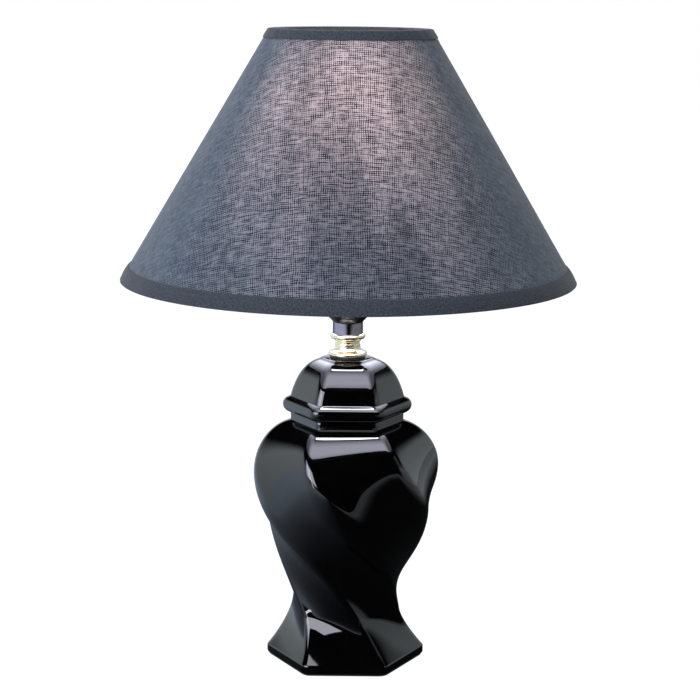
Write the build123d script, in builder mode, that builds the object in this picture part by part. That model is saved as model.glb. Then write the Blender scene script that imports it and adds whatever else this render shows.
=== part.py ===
from build123d import *
import math
import os

os.makedirs("parts", exist_ok=True)

# Ceramic urn table lamp with a clip-on cloth shade. Sizes are in millimetres.
# The table is at height 0, the lamp's axis is Z, and the front looks towards -Y.

# Fits
sliding_fit = 0.1
loose_fit = 0.3
bore_fit = 0.4
cut_overrun = 1.0
radius_tolerance = 0.01

# Urn: a hexagon with flats to the front, turned about its axis from the neck down to the foot
felt_thickness = 1.2
felt_inset = 0.9
foot_radius = 41.7
foot_edge = 4.0
flare_rise = 22.2
flare_power = 1.57
waist_radius = 29.8
belly_rise = 72.4
belly_lead = 1.055
belly_radius = 49.6
shoulder_rise = 29.6
shoulder_fullness = 0.999
shoulder_end_radius = 26.1
urn_corner = 5.0
corner_swell = 14.0
corner_swell_rise = 57.4
corner_swell_reach = 18.0
corner_limit_share = 0.45
urn_turn_angle = 120.0
turn_lead = 1.206
turn_sway_angle = 3.9
collar_radius = 29.6
collar_height = 3.6
collar_root = 1.0
collar_corner = 3.5
wall = 4.0
floor_height = 16.0
floor_thickness = 5.0
foot_wall = 8.0
cavity_ceiling = 8.5
mouth_radius = 19.0
lower_section_count = 13
shoulder_section_count = 6
recess_section_count = 4
mouth_overlap = 1.0

# Cord inlet at the back of the foot
inlet_rise = 10.0
bushing_bore = 2.9
bushing_neck = 3.8
bushing_flange = 4.6
bushing_flange_thickness = 1.4
bushing_reach = 4.4
bushing_mouth_rounding = 0.4
seat_depth = 0.8

# Lid
lid_corner = 6.0
rim_radius = 33.8
rim_cove_radius = 29.0
rim_height = 8.7
rim_cove_share = 0.35
dome_radius = 30.0
dome_height = 21.9
dome_power = 1.2
dome_roundness = 0.235
dome_seat_radius = 13.3
dome_shares = (0.1, 0.24, 0.4, 0.56, 0.7, 0.82, 0.91, 0.965)
rim_lowest_angle = -55
rim_highest_angle = 45
rim_foot_step = 2.4
rim_section_count = 6
lid_cavity_radius = 16.0
lid_roof = 6.0
spigot_depth = 3.5
spigot_wall = 2.6

# Threaded pipe and what it clamps
rod_radius = 4.9
rod_bore = 3.3
rod_hole_fit = 0.6
rod_tail = 2.0
rod_head = 4.5
washer_radius = 16.0
washer_thickness = 1.5
lock_washer_radius = 8.5
lock_washer_thickness = 1.2
lock_washer_split = 1.4
nut_across_flats = 14.5
nut_thickness = 3.6
gasket_radius = 9.3
gasket_thickness = 0.8

# Turned brass neck
neck_torus_radius = 10.1
neck_torus_height = 2.8
neck_cone_radius = 8.0
neck_waist_radius = 6.55
neck_groove_radius = 6.15
neck_bead_radius = 6.8
neck_flange_radius = 9.1
neck_flange_height = 2.9
neck_cone_rise = 2.3
neck_waist_rise = 1.7
neck_groove_rise = 1.1
neck_bead_rise = 1.3
neck_cone_hollow = 0.25

# Lampholder
hub_radius = 7.85
hub_height = 6.2
cap_radius = 17.4
cap_wall = 0.8
cap_skirt = 7.0
cap_bowl_rounding = 4.0
cap_hub_rounding = 1.5
set_screw_radius = 1.4
set_screw_rise = 3.2
set_screw_sink = 0.1
set_screw_slot = 0.5
set_screw_slot_depth = 0.7
shell_wall = 0.5
shell_length = 38.5
shell_bead = 0.5
upper_bead_drop = 3.0
lower_bead_drop = 12.0
stem_hole_fit = 1.0
liner_top_gap = 1.0
liner_wall = 0.7
core_length = 19.5
core_foot_depth = 1.0
core_foot_step = 2.0
thread_sleeve_radius = 13.9
thread_sleeve_wall = 0.4
thread_sleeve_length = 17.0
centre_contact_radius = 4.0
centre_contact_thickness = 1.3
terminal_screw_radius = 2.6
terminal_screw_length = 5.0
terminal_screw_slot = 0.7
terminal_rise = 6.5
terminal_pocket_fit = 0.6
terminal_pocket_depth = 2.0
terminal_head = 1.6
terminal_shank_share = 0.55
terminal_slot_depth = 0.8
switch_rise = 5.5
stem_radius = 1.6
stem_inner = 4.0
stem_reach = 25.0
knob_radius = 6.5
knob_length = 9.0
knob_gap = 2.6
knob_rib_count = 14
knob_chamfer = 0.3
knob_rib_radius = 0.7

# Bulb
bulb_cap_radius = 13.1
bulb_cap_wall = 0.5
bulb_cap_length = 18.5
bulb_tip_radius = 4.5
bulb_tip_thickness = 1.3
bulb_insulator_length = 5.0
bulb_insulator_lip = 0.8
bulb_neck_radius = 12.2
bulb_globe_radius = 30.0
bulb_glass_wall = 0.8
bulb_blend_angle = 38.0
bulb_neck_inside = 6.0
bulb_mount_radius = 4.0
bulb_mount_length = 26.0
bulb_mount_flange = 2.0
filament_wire = 0.5
filament_span = 22.0
filament_rise = 20.0
filament_foot = 2.5
filament_bend = 1.5

# Shade
shade_top_radius = 41.4
shade_bottom_radius = 116.4
shade_slant = 147.0
cover_thickness = 0.5
liner_thickness = 0.5
shade_fit = 0.06
trim_thickness = 0.8
trim_top_width = 8.0
trim_bottom_width = 9.0
trim_inner_width = 5.5
ring_wire = 1.2

# Shade carrier
arm_wire = 1.1
arm_count = 4
first_arm_angle = 45
arm_inner_share = 0.6
carrier_plate_radius = 9.0
carrier_plate_thickness = 1.5
clip_wire = 1.0
clip_tilt_angle = 47.0
clip_spread_angle = 42.0
arm_rise = 8.2
rivet_radius = 2.0
rivet_head_radius = 3.4
rivet_head_height = 1.2

# Heights that follow from the sizes above
foot_bottom = felt_thickness
foot_edge_top = foot_bottom + foot_edge
waist_height = foot_edge_top + flare_rise
belly_height = waist_height + belly_rise
shoulder_top = belly_height + shoulder_rise
collar_top = shoulder_top + collar_height
floor_bottom = foot_bottom + floor_height
floor_top = floor_bottom + floor_thickness
cavity_top = shoulder_top - cavity_ceiling
rim_middle = collar_top + rim_height / 2
dome_base = rim_middle + rim_height * rim_cove_share
lid_top = dome_base + dome_height
gasket_top = lid_top + gasket_thickness
neck_cone_base = gasket_top + neck_torus_height
neck_waist_base = neck_cone_base + neck_cone_rise
neck_groove_base = neck_waist_base + neck_waist_rise
neck_bead_base = neck_groove_base + neck_groove_rise
neck_flange_base = neck_bead_base + neck_bead_rise
neck_top = neck_flange_base + neck_flange_height
hub_top = neck_top + hub_height
cap_bowl_top = hub_top + cap_radius - hub_radius
cap_top = cap_bowl_top + cap_skirt
shell_radius = cap_radius - cap_wall - sliding_fit
shell_bottom = cap_bowl_top + loose_fit
shell_top = shell_bottom + shell_length
liner_radius = shell_radius - shell_wall - sliding_fit
core_radius = liner_radius - liner_wall - loose_fit
core_top = shell_bottom + core_length
core_bottom = cap_bowl_top - core_foot_depth
switch_height = cap_top + switch_rise
bulb_tip_bottom = core_top + centre_contact_thickness + sliding_fit
bulb_cap_bottom = bulb_tip_bottom + bulb_tip_thickness + bulb_insulator_length
bulb_cap_top = bulb_cap_bottom + bulb_cap_length

# The globe joins the neck by an arc that meets both without a corner.
blend = math.radians(bulb_blend_angle)
globe_meet_radius = bulb_globe_radius * math.cos(blend)
neck_arc_radius = (globe_meet_radius - bulb_neck_radius) / (1 - math.cos(blend))
globe_meet_height = bulb_cap_top + neck_arc_radius * math.sin(blend)
globe_height = globe_meet_height + bulb_globe_radius * math.sin(blend)
globe_top = globe_height + bulb_globe_radius

# The clip's plate lies over the globe, the carrier's plate on that, and the shade hangs from the arms.
clip_reach = bulb_globe_radius + loose_fit + clip_wire
plate_bottom = globe_height + clip_reach
plate_top = plate_bottom + carrier_plate_thickness
carrier_bottom = plate_top + sliding_fit
carrier_top = carrier_bottom + carrier_plate_thickness
ring_top_height = carrier_bottom + arm_rise


def urn_radius(height):
    """Distance from the axis to the urn's rounded corners: foot edge, flare, belly, then shoulder."""
    if height <= foot_edge_top:
        return foot_radius
    if height <= waist_height:
        fall = (waist_height - height) / flare_rise
        return waist_radius + (foot_radius - waist_radius) * fall**flare_power
    if height <= belly_height:
        rise = ((height - waist_height) / belly_rise) ** belly_lead
        return waist_radius + (belly_radius - waist_radius) * (1 - math.cos(math.pi * rise)) / 2
    rise = (height - belly_height) / shoulder_rise
    drop = 1 - math.sqrt(1 - (shoulder_fullness * rise) ** 2)
    full_drop = 1 - math.sqrt(1 - shoulder_fullness**2)
    return belly_radius - (belly_radius - shoulder_end_radius) * drop / full_drop


def urn_angle(height):
    """Turn of the hexagon about the axis: none at the shoulder, all of it at the foot, with a small sway."""
    fall = (shoulder_top - height) / (shoulder_top - foot_edge_top)
    lead = min(max(fall, 0), 1) ** turn_lead
    sway = turn_sway_angle * math.sin(2 * math.pi * min(max(fall, 0), 1))
    return urn_turn_angle * lead**2 * (3 - 2 * lead) + sway


def lid_radius(height):
    """Distance from the axis to the lid's rounded corners: a half-round rim, then the dome."""
    if height < dome_base:
        reach = (height - rim_middle) / (rim_height / 2)
        return rim_cove_radius + (rim_radius - rim_cove_radius) * math.sqrt(max(1 - reach**2, 0))
    rise = (height - dome_base) / dome_height
    return dome_radius * (1 - rise**dome_power) ** dome_roundness


def hexagon(height, radius, corner, angle=0.0):
    """A level hexagon with rounded corners, whose corners reach the given radius."""
    corner = min(corner, radius * corner_limit_share)
    sharp_radius = radius + corner * (1 / math.cos(math.pi / 6) - 1)
    with BuildSketch(Plane.XY.offset(height)) as outline:
        RegularPolygon(sharp_radius, 6, rotation=angle)
        fillet(outline.vertices(), corner)
    return outline.sketch


def inset(distance):
    """How much a hexagon's corner radius falls when its sides move in by a distance."""
    return distance / math.cos(math.pi / 6)


def urn_section(height, depth):
    """The urn's level outline at a height, or one some depth inside it, softest-cornered at the belly."""
    swell = math.exp(-(((height - waist_height - corner_swell_rise) / corner_swell_reach) ** 2))
    corner = urn_corner + corner_swell * swell - (wall / 2 if depth > 0 else 0)
    return hexagon(height, urn_radius(height) - inset(depth), corner, urn_angle(height))


def spaced(first, last, count):
    """Evenly spaced values, both ends included."""
    return [first + (last - first) * step / (count - 1) for step in range(count)]


def tube(name, outer, inner, bottom, top):
    """A plain round tube or, with no inner radius, a round bar."""
    with BuildPart() as piece:
        with BuildSketch(Plane.XY.offset(bottom)):
            Circle(outer)
            if inner > 0:
                Circle(inner, mode=Mode.SUBTRACT)
        extrude(amount=top - bottom)
    finish(piece, name)
    return piece


def round_edges(piece, radius):
    """The piece's circular edges of one radius, lowest first."""
    circles = piece.edges().filter_by(GeomType.CIRCLE)
    return circles.filter_by(lambda edge: abs(edge.radius - radius) < radius_tolerance).sort_by(Axis.Z)


def finish(piece, name):
    """Name a finished piece and write it."""
    piece.part.label = name
    export_step(piece.part, f"parts/{name}.step")


# Pad under the foot
with BuildPart() as base_felt:
    add(hexagon(0, foot_radius - felt_inset, urn_corner, urn_turn_angle))
    extrude(amount=felt_thickness)
finish(base_felt, "base_felt")

# Urn: one hollow casting, with a raised floor that the pipe passes and a round mouth
lower_heights = spaced(foot_edge_top, belly_height, lower_section_count)
shoulder_span = math.asin(shoulder_fullness)
shoulder_heights = [
    belly_height + shoulder_rise * math.sin(angle) / shoulder_fullness
    for angle in spaced(0, shoulder_span, shoulder_section_count)[1:]
]
inlet_height = foot_bottom + inlet_rise
inlet_seat = urn_radius(inlet_height + bushing_flange) * math.cos(math.pi / 6) - seat_depth
with BuildPart() as urn_body:
    add(urn_section(foot_edge_top, 0))
    extrude(amount=-foot_edge)
    loft([urn_section(h, 0) for h in lower_heights + shoulder_heights])
    add(hexagon(shoulder_top - collar_root, collar_radius, collar_corner))
    extrude(amount=collar_height + collar_root)
    cavity_heights = spaced(floor_top, cavity_top, lower_section_count)
    loft([urn_section(h, wall) for h in cavity_heights], mode=Mode.SUBTRACT)
    recess_heights = spaced(foot_bottom, floor_bottom, recess_section_count)
    loft([urn_section(h, foot_wall) for h in recess_heights], mode=Mode.SUBTRACT)
    with BuildSketch(Plane.XY.offset(cavity_top - mouth_overlap)):
        Circle(mouth_radius)
    extrude(amount=collar_top - cavity_top + mouth_overlap, mode=Mode.SUBTRACT)
    with BuildSketch(Plane.XY.offset(floor_bottom)):
        Circle(rod_radius + rod_hole_fit)
    extrude(amount=floor_thickness, mode=Mode.SUBTRACT)
    inlet_plane = Plane(origin=(0, foot_radius + 1, inlet_height), x_dir=(1, 0, 0), z_dir=(0, -1, 0))
    with BuildSketch(inlet_plane):
        Circle(bushing_neck + sliding_fit)
    extrude(amount=foot_radius / 2, mode=Mode.SUBTRACT)
    with BuildSketch(inlet_plane):
        Circle(bushing_flange + sliding_fit)
    extrude(amount=foot_radius + 1 - inlet_seat, mode=Mode.SUBTRACT)
finish(urn_body, "urn_body")

with BuildPart() as cord_bushing:
    bushing_plane = Plane(origin=(0, inlet_seat, inlet_height), x_dir=(1, 0, 0), z_dir=(0, 1, 0))
    with BuildSketch(bushing_plane):
        Circle(bushing_flange)
    extrude(amount=bushing_flange_thickness)
    with BuildSketch(bushing_plane):
        Circle(bushing_neck)
    extrude(amount=-bushing_reach)
    with BuildSketch(bushing_plane.offset(bushing_flange_thickness)):
        Circle(bushing_bore)
    extrude(amount=-(bushing_reach + bushing_flange_thickness), mode=Mode.SUBTRACT)
    mouth_edges = cord_bushing.edges().filter_by(GeomType.CIRCLE).sort_by(Axis.Y)[-2:]
    fillet(mouth_edges, bushing_mouth_rounding)
finish(cord_bushing, "cord_bushing")

# Lid: six-sided dome on a half-round rim, with a spigot that centres it in the urn's mouth
rim_angles = spaced(rim_lowest_angle, rim_highest_angle, rim_section_count)
rim_heights = [rim_middle + rim_height / 2 * math.sin(math.radians(angle)) for angle in rim_angles]
dome_heights = [dome_base + dome_height * share for share in dome_shares]
with BuildPart() as urn_lid:
    lid_sections = [hexagon(collar_top, lid_radius(rim_heights[0]) - rim_foot_step, lid_corner)]
    lid_sections += [hexagon(h, lid_radius(h), lid_corner) for h in rim_heights + dome_heights]
    lid_sections += [hexagon(lid_top, dome_seat_radius, lid_corner)]
    loft(lid_sections)
    with BuildSketch(Plane.XY.offset(collar_top)):
        Circle(mouth_radius - loose_fit)
    extrude(amount=-spigot_depth)
    with BuildSketch(Plane.XZ) as lid_cavity:
        cavity_depth = lid_top - lid_roof - collar_top + spigot_depth
        with Locations((0, collar_top - spigot_depth)):
            Rectangle(lid_cavity_radius * 2, cavity_depth, align=(Align.CENTER, Align.MIN))
        fillet(lid_cavity.vertices().group_by(Axis.Z)[-1], lid_cavity_radius / 2)
        split(bisect_by=Plane.YZ)
    revolve(axis=Axis.Z, mode=Mode.SUBTRACT)
    with BuildSketch(Plane.XY.offset(lid_top)):
        Circle(rod_radius + rod_hole_fit)
    extrude(amount=-lid_roof * 2, mode=Mode.SUBTRACT)
finish(urn_lid, "urn_lid")

# Pipe, and the washers and nut that clamp the urn from below
rod_bottom = floor_bottom - washer_thickness - lock_washer_thickness - nut_thickness - rod_tail
rod_top = neck_top + rod_head
tube("lamp_rod", rod_radius, rod_bore, rod_bottom, rod_top)
washer_bottom = floor_bottom - washer_thickness
tube("base_washer", washer_radius, rod_radius + bore_fit, washer_bottom, floor_bottom)
lock_washer_bottom = washer_bottom - lock_washer_thickness
with BuildPart() as lock_washer:
    with BuildSketch(Plane.XY.offset(lock_washer_bottom)):
        Circle(lock_washer_radius)
        Circle(rod_radius + bore_fit, mode=Mode.SUBTRACT)
        with Locations((lock_washer_radius, 0)):
            Rectangle(lock_washer_radius * 2, lock_washer_split, mode=Mode.SUBTRACT)
    extrude(amount=lock_washer_thickness)
finish(lock_washer, "lock_washer")
with BuildPart() as base_nut:
    with BuildSketch(Plane.XY.offset(lock_washer_bottom)):
        RegularPolygon(nut_across_flats / 2, 6, major_radius=False)
        Circle(rod_radius + sliding_fit, mode=Mode.SUBTRACT)
    extrude(amount=-nut_thickness)
finish(base_nut, "base_nut")
tube("neck_gasket", gasket_radius, rod_radius + bore_fit, lid_top, gasket_top)

# Brass neck, turned from one bar: torus, cone, waist, groove, bead and flange
with BuildPart() as brass_neck:
    with BuildSketch(Plane.XZ):
        with BuildLine():
            neck_bore = rod_radius + sliding_fit * 2
            torus_round = neck_torus_height / 2
            l1 = Line((neck_bore, gasket_top), (neck_torus_radius - torus_round, gasket_top))
            l2 = ThreePointArc(
                l1 @ 1,
                (neck_torus_radius, gasket_top + torus_round),
                (neck_torus_radius - torus_round, neck_cone_base),
            )
            l3 = Line(l2 @ 1, (neck_cone_radius, neck_cone_base))
            l4 = SagittaArc(l3 @ 1, (neck_waist_radius, neck_waist_base), neck_cone_hollow)
            l5 = Polyline(
                l4 @ 1,
                (neck_waist_radius, neck_groove_base),
                (neck_groove_radius, neck_groove_base),
                (neck_groove_radius, neck_bead_base),
                (neck_bead_radius, neck_bead_base),
                (neck_bead_radius, neck_flange_base),
            )
            flange_round = neck_flange_height / 2
            l6 = Line(l5 @ 1, (neck_flange_radius - flange_round, neck_flange_base))
            l7 = ThreePointArc(
                l6 @ 1,
                (neck_flange_radius, neck_flange_base + flange_round),
                (neck_flange_radius - flange_round, neck_top),
            )
            Polyline(l7 @ 1, (neck_bore, neck_top), l1 @ 0)
        make_face()
    revolve(axis=Axis.Z)
finish(brass_neck, "brass_neck")

# Lampholder cap: a hub on the pipe, a flared bowl and a skirt that takes the shell
with BuildPart() as socket_cap:
    with BuildSketch(Plane.XZ):
        hub_bore = rod_radius + sliding_fit
        floor_line = hub_top + cap_wall
        with BuildLine():
            Polyline(
                (hub_bore, neck_top),
                (hub_radius, neck_top),
                (hub_radius, hub_top),
                (cap_radius, cap_bowl_top),
                (cap_radius, cap_top),
                (cap_radius - cap_wall, cap_top),
                (cap_radius - cap_wall, cap_bowl_top),
                (hub_radius - cap_wall, floor_line),
                (hub_bore, floor_line),
                close=True,
            )
        make_face()
    revolve(axis=Axis.Z)
    set_screw_plane = Plane(origin=(0, 0, neck_top + set_screw_rise), x_dir=(1, 0, 0), z_dir=(0, 1, 0))
    with BuildSketch(set_screw_plane):
        Circle(set_screw_radius + sliding_fit)
    extrude(amount=hub_radius + cut_overrun, mode=Mode.SUBTRACT)
    fillet(round_edges(socket_cap, cap_radius)[0], cap_bowl_rounding)
    fillet(round_edges(socket_cap, hub_radius)[-1], cap_hub_rounding)
finish(socket_cap, "socket_cap")

with BuildPart() as cap_set_screw:
    with BuildSketch(set_screw_plane.offset(rod_radius)):
        Circle(set_screw_radius)
    extrude(amount=hub_radius - rod_radius - set_screw_sink)
    with BuildSketch(set_screw_plane.offset(hub_radius - set_screw_sink)):
        Rectangle(set_screw_radius * 3, set_screw_slot)
    extrude(amount=-set_screw_slot_depth, mode=Mode.SUBTRACT)
finish(cap_set_screw, "cap_set_screw")

# Lampholder shell, with two rolled beads, and the paper sleeve inside it
switch_plane = Plane(origin=(0, 0, switch_height), x_dir=(0, 1, 0), z_dir=(1, 0, 0))
with BuildPart() as socket_shell:
    with BuildSketch(Plane.XY.offset(shell_bottom)):
        Circle(shell_radius)
    extrude(amount=shell_length)
    with BuildSketch(Plane.XZ):
        with Locations(*[(shell_radius, shell_top - drop) for drop in (upper_bead_drop, lower_bead_drop)]):
            Circle(shell_bead)
    revolve(axis=Axis.Z)
    with BuildSketch(Plane.XY.offset(shell_bottom)):
        Circle(shell_radius - shell_wall)
    extrude(amount=shell_length, mode=Mode.SUBTRACT)
    with BuildSketch(switch_plane):
        Circle(stem_radius + stem_hole_fit)
    extrude(amount=cap_radius + cut_overrun, mode=Mode.SUBTRACT)
finish(socket_shell, "socket_shell")

with BuildPart() as socket_liner:
    with BuildSketch(Plane.XY.offset(shell_bottom + loose_fit)):
        Circle(liner_radius)
        Circle(liner_radius - liner_wall, mode=Mode.SUBTRACT)
    extrude(amount=shell_length - loose_fit - liner_top_gap)
    with BuildSketch(switch_plane):
        Circle(stem_radius + stem_hole_fit)
    extrude(amount=cap_radius + cut_overrun, mode=Mode.SUBTRACT)
finish(socket_liner, "socket_liner")

# Insulating core with the screw sleeve, the centre contact, the wiring screws and the rotary switch
terminal_shank_radius = terminal_screw_radius * terminal_shank_share
terminal_plane = Plane(origin=(0, 0, shell_bottom + terminal_rise), x_dir=(1, 0, 0), z_dir=(0, 1, 0))
with BuildPart() as socket_core:
    with BuildSketch(Plane.XY.offset(core_bottom)):
        Circle(core_radius - core_foot_step)
    extrude(amount=shell_bottom - core_bottom)
    with BuildSketch(Plane.XY.offset(shell_bottom)):
        Circle(core_radius)
    extrude(amount=core_top - shell_bottom)
    with BuildSketch(switch_plane):
        Circle(stem_radius + sliding_fit)
    extrude(amount=core_radius + cut_overrun, mode=Mode.SUBTRACT)
    for side in (1, -1):
        with BuildSketch(terminal_plane.offset(side * core_radius)):
            Circle(terminal_screw_radius + terminal_pocket_fit)
        extrude(amount=-side * terminal_pocket_depth, mode=Mode.SUBTRACT)
        with BuildSketch(terminal_plane.offset(side * core_radius)):
            Circle(terminal_shank_radius + sliding_fit)
        extrude(amount=-side * terminal_screw_length, mode=Mode.SUBTRACT)
finish(socket_core, "socket_core")

with BuildPart() as terminal_screws:
    for side in (1, -1):
        head_plane = terminal_plane.offset(side * (core_radius - terminal_pocket_depth))
        with BuildSketch(head_plane):
            Circle(terminal_screw_radius)
        extrude(amount=side * terminal_head)
        with BuildSketch(head_plane):
            Circle(terminal_shank_radius)
        extrude(amount=-side * (terminal_screw_length - terminal_pocket_depth))
        with BuildSketch(head_plane.offset(side * terminal_head)):
            Rectangle(terminal_screw_radius * 3, terminal_screw_slot)
        extrude(amount=-side * terminal_slot_depth, mode=Mode.SUBTRACT)
finish(terminal_screws, "terminal_screws")

sleeve_inner = thread_sleeve_radius - thread_sleeve_wall
tube("screw_shell", thread_sleeve_radius, sleeve_inner, core_top, core_top + thread_sleeve_length)
tube("centre_contact", centre_contact_radius, 0, core_top, core_top + centre_contact_thickness)

with BuildPart() as switch_stem:
    with BuildSketch(switch_plane.offset(stem_inner)):
        Circle(stem_radius)
    extrude(amount=stem_reach - stem_inner)
finish(switch_stem, "switch_stem")

with BuildPart() as switch_knob:
    knob_plane = switch_plane.offset(cap_radius + knob_gap)
    with BuildSketch(knob_plane):
        Circle(knob_radius - knob_rib_radius / 2)
        with PolarLocations(knob_radius - knob_rib_radius / 2, knob_rib_count):
            Circle(knob_rib_radius)
    extrude(amount=knob_length)
    chamfer(switch_knob.faces().sort_by(Axis.X)[-1].edges(), knob_chamfer)
    with BuildSketch(knob_plane):
        Circle(stem_radius + sliding_fit)
    extrude(amount=stem_reach - cap_radius - knob_gap + sliding_fit, mode=Mode.SUBTRACT)
finish(switch_knob, "switch_knob")

# Bulb: contact, insulator, screw cap, blown glass, the glass mount inside it and the filament
tube("bulb_contact", bulb_tip_radius, 0, bulb_tip_bottom, bulb_tip_bottom + bulb_tip_thickness)
insulator_bottom = bulb_tip_bottom + bulb_tip_thickness
with BuildPart() as bulb_insulator:
    with BuildSketch(Plane.XY.offset(insulator_bottom)):
        Circle(bulb_tip_radius + bulb_insulator_lip)
    with BuildSketch(Plane.XY.offset(bulb_cap_bottom)):
        Circle(bulb_cap_radius - bulb_cap_wall - sliding_fit)
    loft()
finish(bulb_insulator, "bulb_insulator")

tube("bulb_cap", bulb_cap_radius, bulb_cap_radius - bulb_cap_wall, bulb_cap_bottom, bulb_cap_top)

mount_bottom = bulb_cap_top - bulb_neck_inside
meet = (globe_meet_radius, globe_meet_height)
with BuildPart() as bulb_glass:
    with BuildSketch(Plane.XZ):
        with BuildLine():
            g1 = Line((0, mount_bottom), (bulb_neck_radius, mount_bottom))
            g2 = Line(g1 @ 1, (bulb_neck_radius, bulb_cap_top))
            g3 = TangentArc(g2 @ 1, meet, tangent=(0, 1))
            g4 = TangentArc(g3 @ 1, (0, globe_top), tangent=g3 % 1)
            Line(g4 @ 1, g1 @ 0)
        make_face()
    revolve(axis=Axis.Z)
    offset(amount=-bulb_glass_wall, openings=bulb_glass.faces().sort_by(Axis.Z)[0])
finish(bulb_glass, "bulb_glass")

mount_top = mount_bottom + bulb_mount_length
with BuildPart() as bulb_mount:
    with BuildSketch(Plane.XY.offset(mount_bottom)):
        Circle(bulb_neck_radius - bulb_glass_wall - sliding_fit)
    extrude(amount=bulb_mount_flange)
    with BuildSketch(Plane.XY.offset(mount_bottom + bulb_mount_flange)):
        Circle(bulb_mount_radius)
    extrude(amount=bulb_mount_length - bulb_mount_flange)
finish(bulb_mount, "bulb_mount")

filament_height = mount_top + filament_rise
with BuildPart() as bulb_filament:
    with BuildLine():
        FilletPolyline(
            (-filament_foot, 0, mount_top),
            (-filament_span / 2, 0, filament_height),
            (filament_span / 2, 0, filament_height),
            (filament_foot, 0, mount_top),
            radius=filament_bend,
        )
    leg_direction = (filament_foot - filament_span / 2, 0, filament_rise)
    with BuildSketch(Plane(origin=(-filament_foot, 0, mount_top), z_dir=leg_direction)):
        Circle(filament_wire)
    sweep()
    split(bisect_by=Plane.XY.offset(mount_top), keep=Keep.TOP)
finish(bulb_filament, "bulb_filament")

# Shade: a cone cut level at both rims. Its rings are drawn by height and by distance out of its face.
slope = math.asin((shade_bottom_radius - shade_top_radius) / shade_slant)
cover_top = ring_top_height + ring_wire
cover_bottom = cover_top - shade_slant * math.cos(slope)


def on_wall(height, out):
    """A point of the shade's half section at a height and at a distance square to the cloth's face."""
    return shade_top_radius + (cover_top - height) * math.tan(slope) + out / math.cos(slope), height


def wall_ring(name, corners):
    """A ring about the axis whose half section is a polygon of heights and distances."""
    with BuildPart() as piece:
        with BuildSketch(Plane.XZ):
            with BuildLine():
                Polyline(*[on_wall(height, out) for height, out in corners], close=True)
            make_face()
        revolve(axis=Axis.Z)
    finish(piece, name)
    return piece


def sheet(outside, inside):
    """Corners of a sheet that runs from rim to rim between two distances from the cloth's face."""
    return [(cover_top, outside), (cover_bottom, outside), (cover_bottom, inside), (cover_top, inside)]


def wire_hoop(name, height):
    """A wire hoop that lies against the inside of the liner."""
    with BuildPart() as piece:
        with BuildSketch(Plane.XZ):
            with Locations(on_wall(height, ring_out)):
                Circle(ring_wire)
        revolve(axis=Axis.Z)
    finish(piece, name)
    return piece


def binding(edge, side, width):
    """Corners of a cloth binding folded over a rim: side is 1 at the top rim and -1 at the bottom."""
    hem = edge - side * width * math.cos(slope)
    inner_hem = edge - side * trim_inner_width * math.cos(slope)
    outer_face = shade_fit + trim_thickness
    return [
        (hem, shade_fit),
        (hem, outer_face),
        (edge + side * trim_thickness, outer_face),
        (edge + side * trim_thickness, trim_inside - trim_thickness),
        (inner_hem, trim_inside - trim_thickness),
        (inner_hem, trim_inside),
        (edge + side * shade_fit, trim_inside),
        (edge + side * shade_fit, shade_fit),
    ]


liner_out = -cover_thickness - shade_fit
liner_inside = liner_out - liner_thickness
ring_out = liner_inside - shade_fit - ring_wire
trim_inside = ring_out - ring_wire - shade_fit
ring_bottom_height = cover_bottom + ring_wire
shade_cover = wall_ring("shade_cover", sheet(0, -cover_thickness))
shade_liner = wall_ring("shade_liner", sheet(liner_out, liner_inside))
ring_top = wire_hoop("ring_top", ring_top_height)
ring_bottom = wire_hoop("ring_bottom", ring_bottom_height)
shade_trim_bottom = wall_ring("shade_trim_bottom", binding(cover_bottom, -1, trim_bottom_width))

# Wire clip that grips the globe: two hoops that lie on it, under one plate
tilt = math.radians(clip_tilt_angle)
spread = math.radians(clip_spread_angle)
with BuildPart() as bulb_clip:
    for side in (1, -1):
        lean = Vector(side * math.sin(tilt), 0, math.cos(tilt))
        hoop_centre = Vector(0, 0, globe_height) + lean * clip_reach * math.cos(spread)
        with Locations(Plane(origin=hoop_centre, z_dir=lean)):
            Torus(clip_reach * math.sin(spread), clip_wire)
    with BuildSketch(Plane.XY.offset(plate_bottom)):
        Circle(carrier_plate_radius)
    extrude(amount=carrier_plate_thickness)
    with BuildSketch(Plane.XY.offset(plate_top)):
        Circle(rivet_radius + sliding_fit)
    extrude(amount=-carrier_plate_thickness - clip_wire * 2, mode=Mode.SUBTRACT)
finish(bulb_clip, "bulb_clip")

# Four arms from the carrier plate up to the top hoop, each cut to sit against it
arm_inner = carrier_plate_radius * arm_inner_share
arm_height = carrier_bottom + carrier_plate_thickness / 2
hoop_radius = on_wall(ring_top_height, ring_out)[0]
arm_direction = (hoop_radius - arm_inner, 0, ring_top_height - arm_height)
arm_plane = Plane(origin=(arm_inner, 0, arm_height), z_dir=arm_direction)
arm_length = math.hypot(*arm_direction)


def arm_bar(radius):
    """One straight bar along the first arm, as far as the middle of the top hoop's wire."""
    with BuildPart() as bar:
        with BuildSketch(arm_plane):
            Circle(radius)
        extrude(amount=arm_length)
    return bar.part


with BuildPart() as shade_arms:
    with BuildSketch(Plane.XY.offset(carrier_bottom)):
        Circle(carrier_plate_radius)
    extrude(amount=carrier_plate_thickness)
    with PolarLocations(0, arm_count, start_angle=first_arm_angle):
        add(arm_bar(arm_wire))
    with Locations((0, 0, ring_top_height)):
        Torus(hoop_radius, ring_wire + sliding_fit, mode=Mode.SUBTRACT)
    with BuildSketch(Plane.XY.offset(carrier_bottom)):
        Circle(carrier_plate_radius + cut_overrun)
    extrude(amount=-carrier_plate_thickness, mode=Mode.SUBTRACT)
    with BuildSketch(Plane.XY.offset(carrier_bottom)):
        Circle(rivet_radius + sliding_fit)
    extrude(amount=carrier_plate_thickness * 2, mode=Mode.SUBTRACT)
finish(shade_arms, "shade_arms")

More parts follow.
